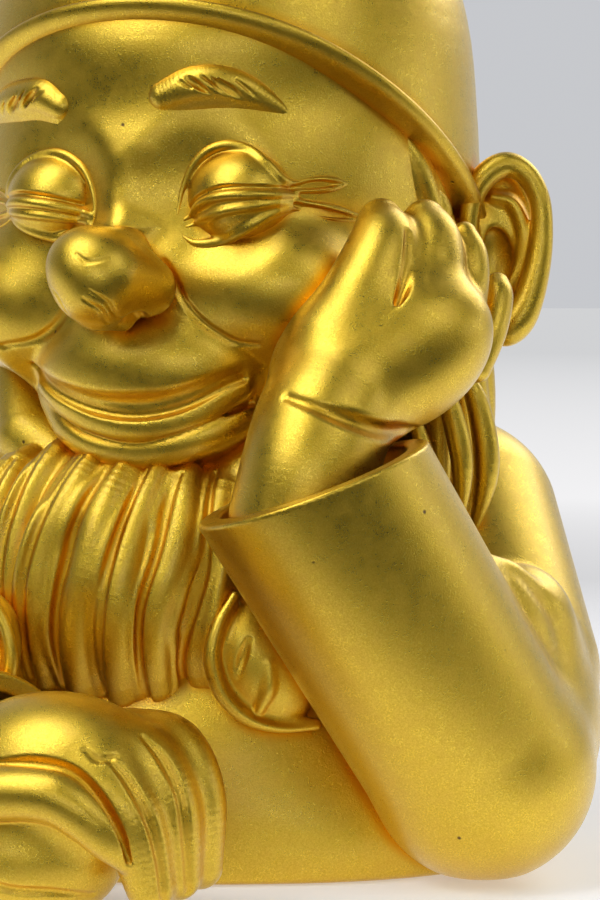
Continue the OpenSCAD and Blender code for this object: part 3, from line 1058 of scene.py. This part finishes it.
steel = plain_material("dowel_steel", (0.55, 0.56, 0.57), (0.68, 0.68, 0.69), 700, 0.3, 1.0, 0.00003)
felt = plain_material("base_felt", (0.012, 0.05, 0.022), (0.03, 0.10, 0.05), 1800, 0.95, 0.0, 0.0003, 0.6)
plastic = plain_material("base_plastic", (0.05, 0.05, 0.055), (0.075, 0.075, 0.08), 900, 0.5, 0.0, 0.00005)
rubber = plain_material("bung_rubber", (0.02, 0.02, 0.02), (0.04, 0.04, 0.04), 1200, 0.7, 0.0, 0.00006)
for node, material in (("shoulder_dowels", steel), ("wrist_dowels", steel), ("hat_dowel", steel),
                       ("base_felt", felt), ("base_plate", plastic), ("filler_bung", rubber)):
    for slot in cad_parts[node].material_slots:
        slot.material = material


# ---------- Floor, light and camera ----------

FLOOR_RADIUS = 9
FLOOR_GAP = 0.0002
LAMP_DISTANCE = 1.4
CAMERA_TILT = math.atan(49 / 860)


def floor():
    """A round floor, wide enough to reach the skyline from every side."""
    mesh = bpy.data.meshes.new("Floor")
    turns = [math.radians(5 * i) for i in range(72)]
    rim = [(FLOOR_RADIUS * math.cos(turn), FLOOR_RADIUS * math.sin(turn), 0) for turn in turns]
    mesh.from_pydata(rim, [], [tuple(range(72))])
    mesh.materials.append(floor_material())
    ground = bpy.data.objects.new("Floor", mesh)
    ground.location.z = cad_box[0][2] - FLOOR_GAP
    bpy.context.collection.objects.link(ground)


def softbox(name, round_from_front, up, width, height, power):
    """A soft lamp aimed at the object, placed by its angle round from the front and its angle up."""
    turn = math.radians(round_from_front)
    rise = math.radians(up)
    way = Vector((math.sin(turn) * math.cos(rise), -math.cos(turn) * math.cos(rise), math.sin(rise)))
    light = bpy.data.lights.new(name, "AREA")
    light.shape = "RECTANGLE"
    light.size = width
    light.size_y = height
    light.energy = power
    lamp = bpy.data.objects.new(name, light)
    lamp.location = centre + LAMP_DISTANCE * way
    lamp.rotation_euler = (-way).to_track_quat("-Z", "Y").to_euler()
    lamp.visible_camera = False
    bpy.context.collection.objects.link(lamp)


def studio_world():
    """A pale backdrop all round, which lights the object mostly from behind."""
    world = bpy.data.worlds.new("Studio")
    world.use_nodes = True
    nodes = world.node_tree.nodes
    links = world.node_tree.links
    way = nodes.new("ShaderNodeSeparateXYZ")
    links.new(nodes.new("ShaderNodeTexCoord").outputs["Generated"], way.inputs["Vector"])
    back = remap(nodes, links, way.outputs["Y"], -0.1, 0.95, 0, 1)
    seen = nodes.new("ShaderNodeLightPath").outputs["Is Camera Ray"]
    pale = sums(nodes, links, "MAXIMUM", back, seen)
    links.new(mix_colour(nodes, links, pale, DARK_STUDIO, BACKDROP), nodes["Background"].inputs["Color"])
    bpy.context.scene.world = world


floor()
centre = (Vector(cad_box[0]) + Vector(cad_box[1])) / 2
softbox("Key", -50, 60, 0.85, 0.85, 8)
softbox("Fill", -43, 32, 0.8, 0.7, 4.4)
softbox("Right", 45, 32, 0.85, 0.85, 2.9)
softbox("Back", 135, 34, 0.85, 0.85, 5)
softbox("Front", 0, 7, 0.9, 0.3, 2)
softbox("Side", 90, 8, 0.9, 0.3, 1.2)
studio_world()
bpy.context.scene.view_settings.view_transform = "Standard"

camera = bpy.data.objects.new("Camera", bpy.data.cameras.new("Camera"))
camera.location = Vector((0.015, -0.9, 0.155))
camera.rotation_euler = (math.pi / 2 - CAMERA_TILT, 0, 0)
camera.data.sensor_width = 36
camera.data.lens = 137.6
bpy.context.collection.objects.link(camera)
bpy.context.scene.camera = camera
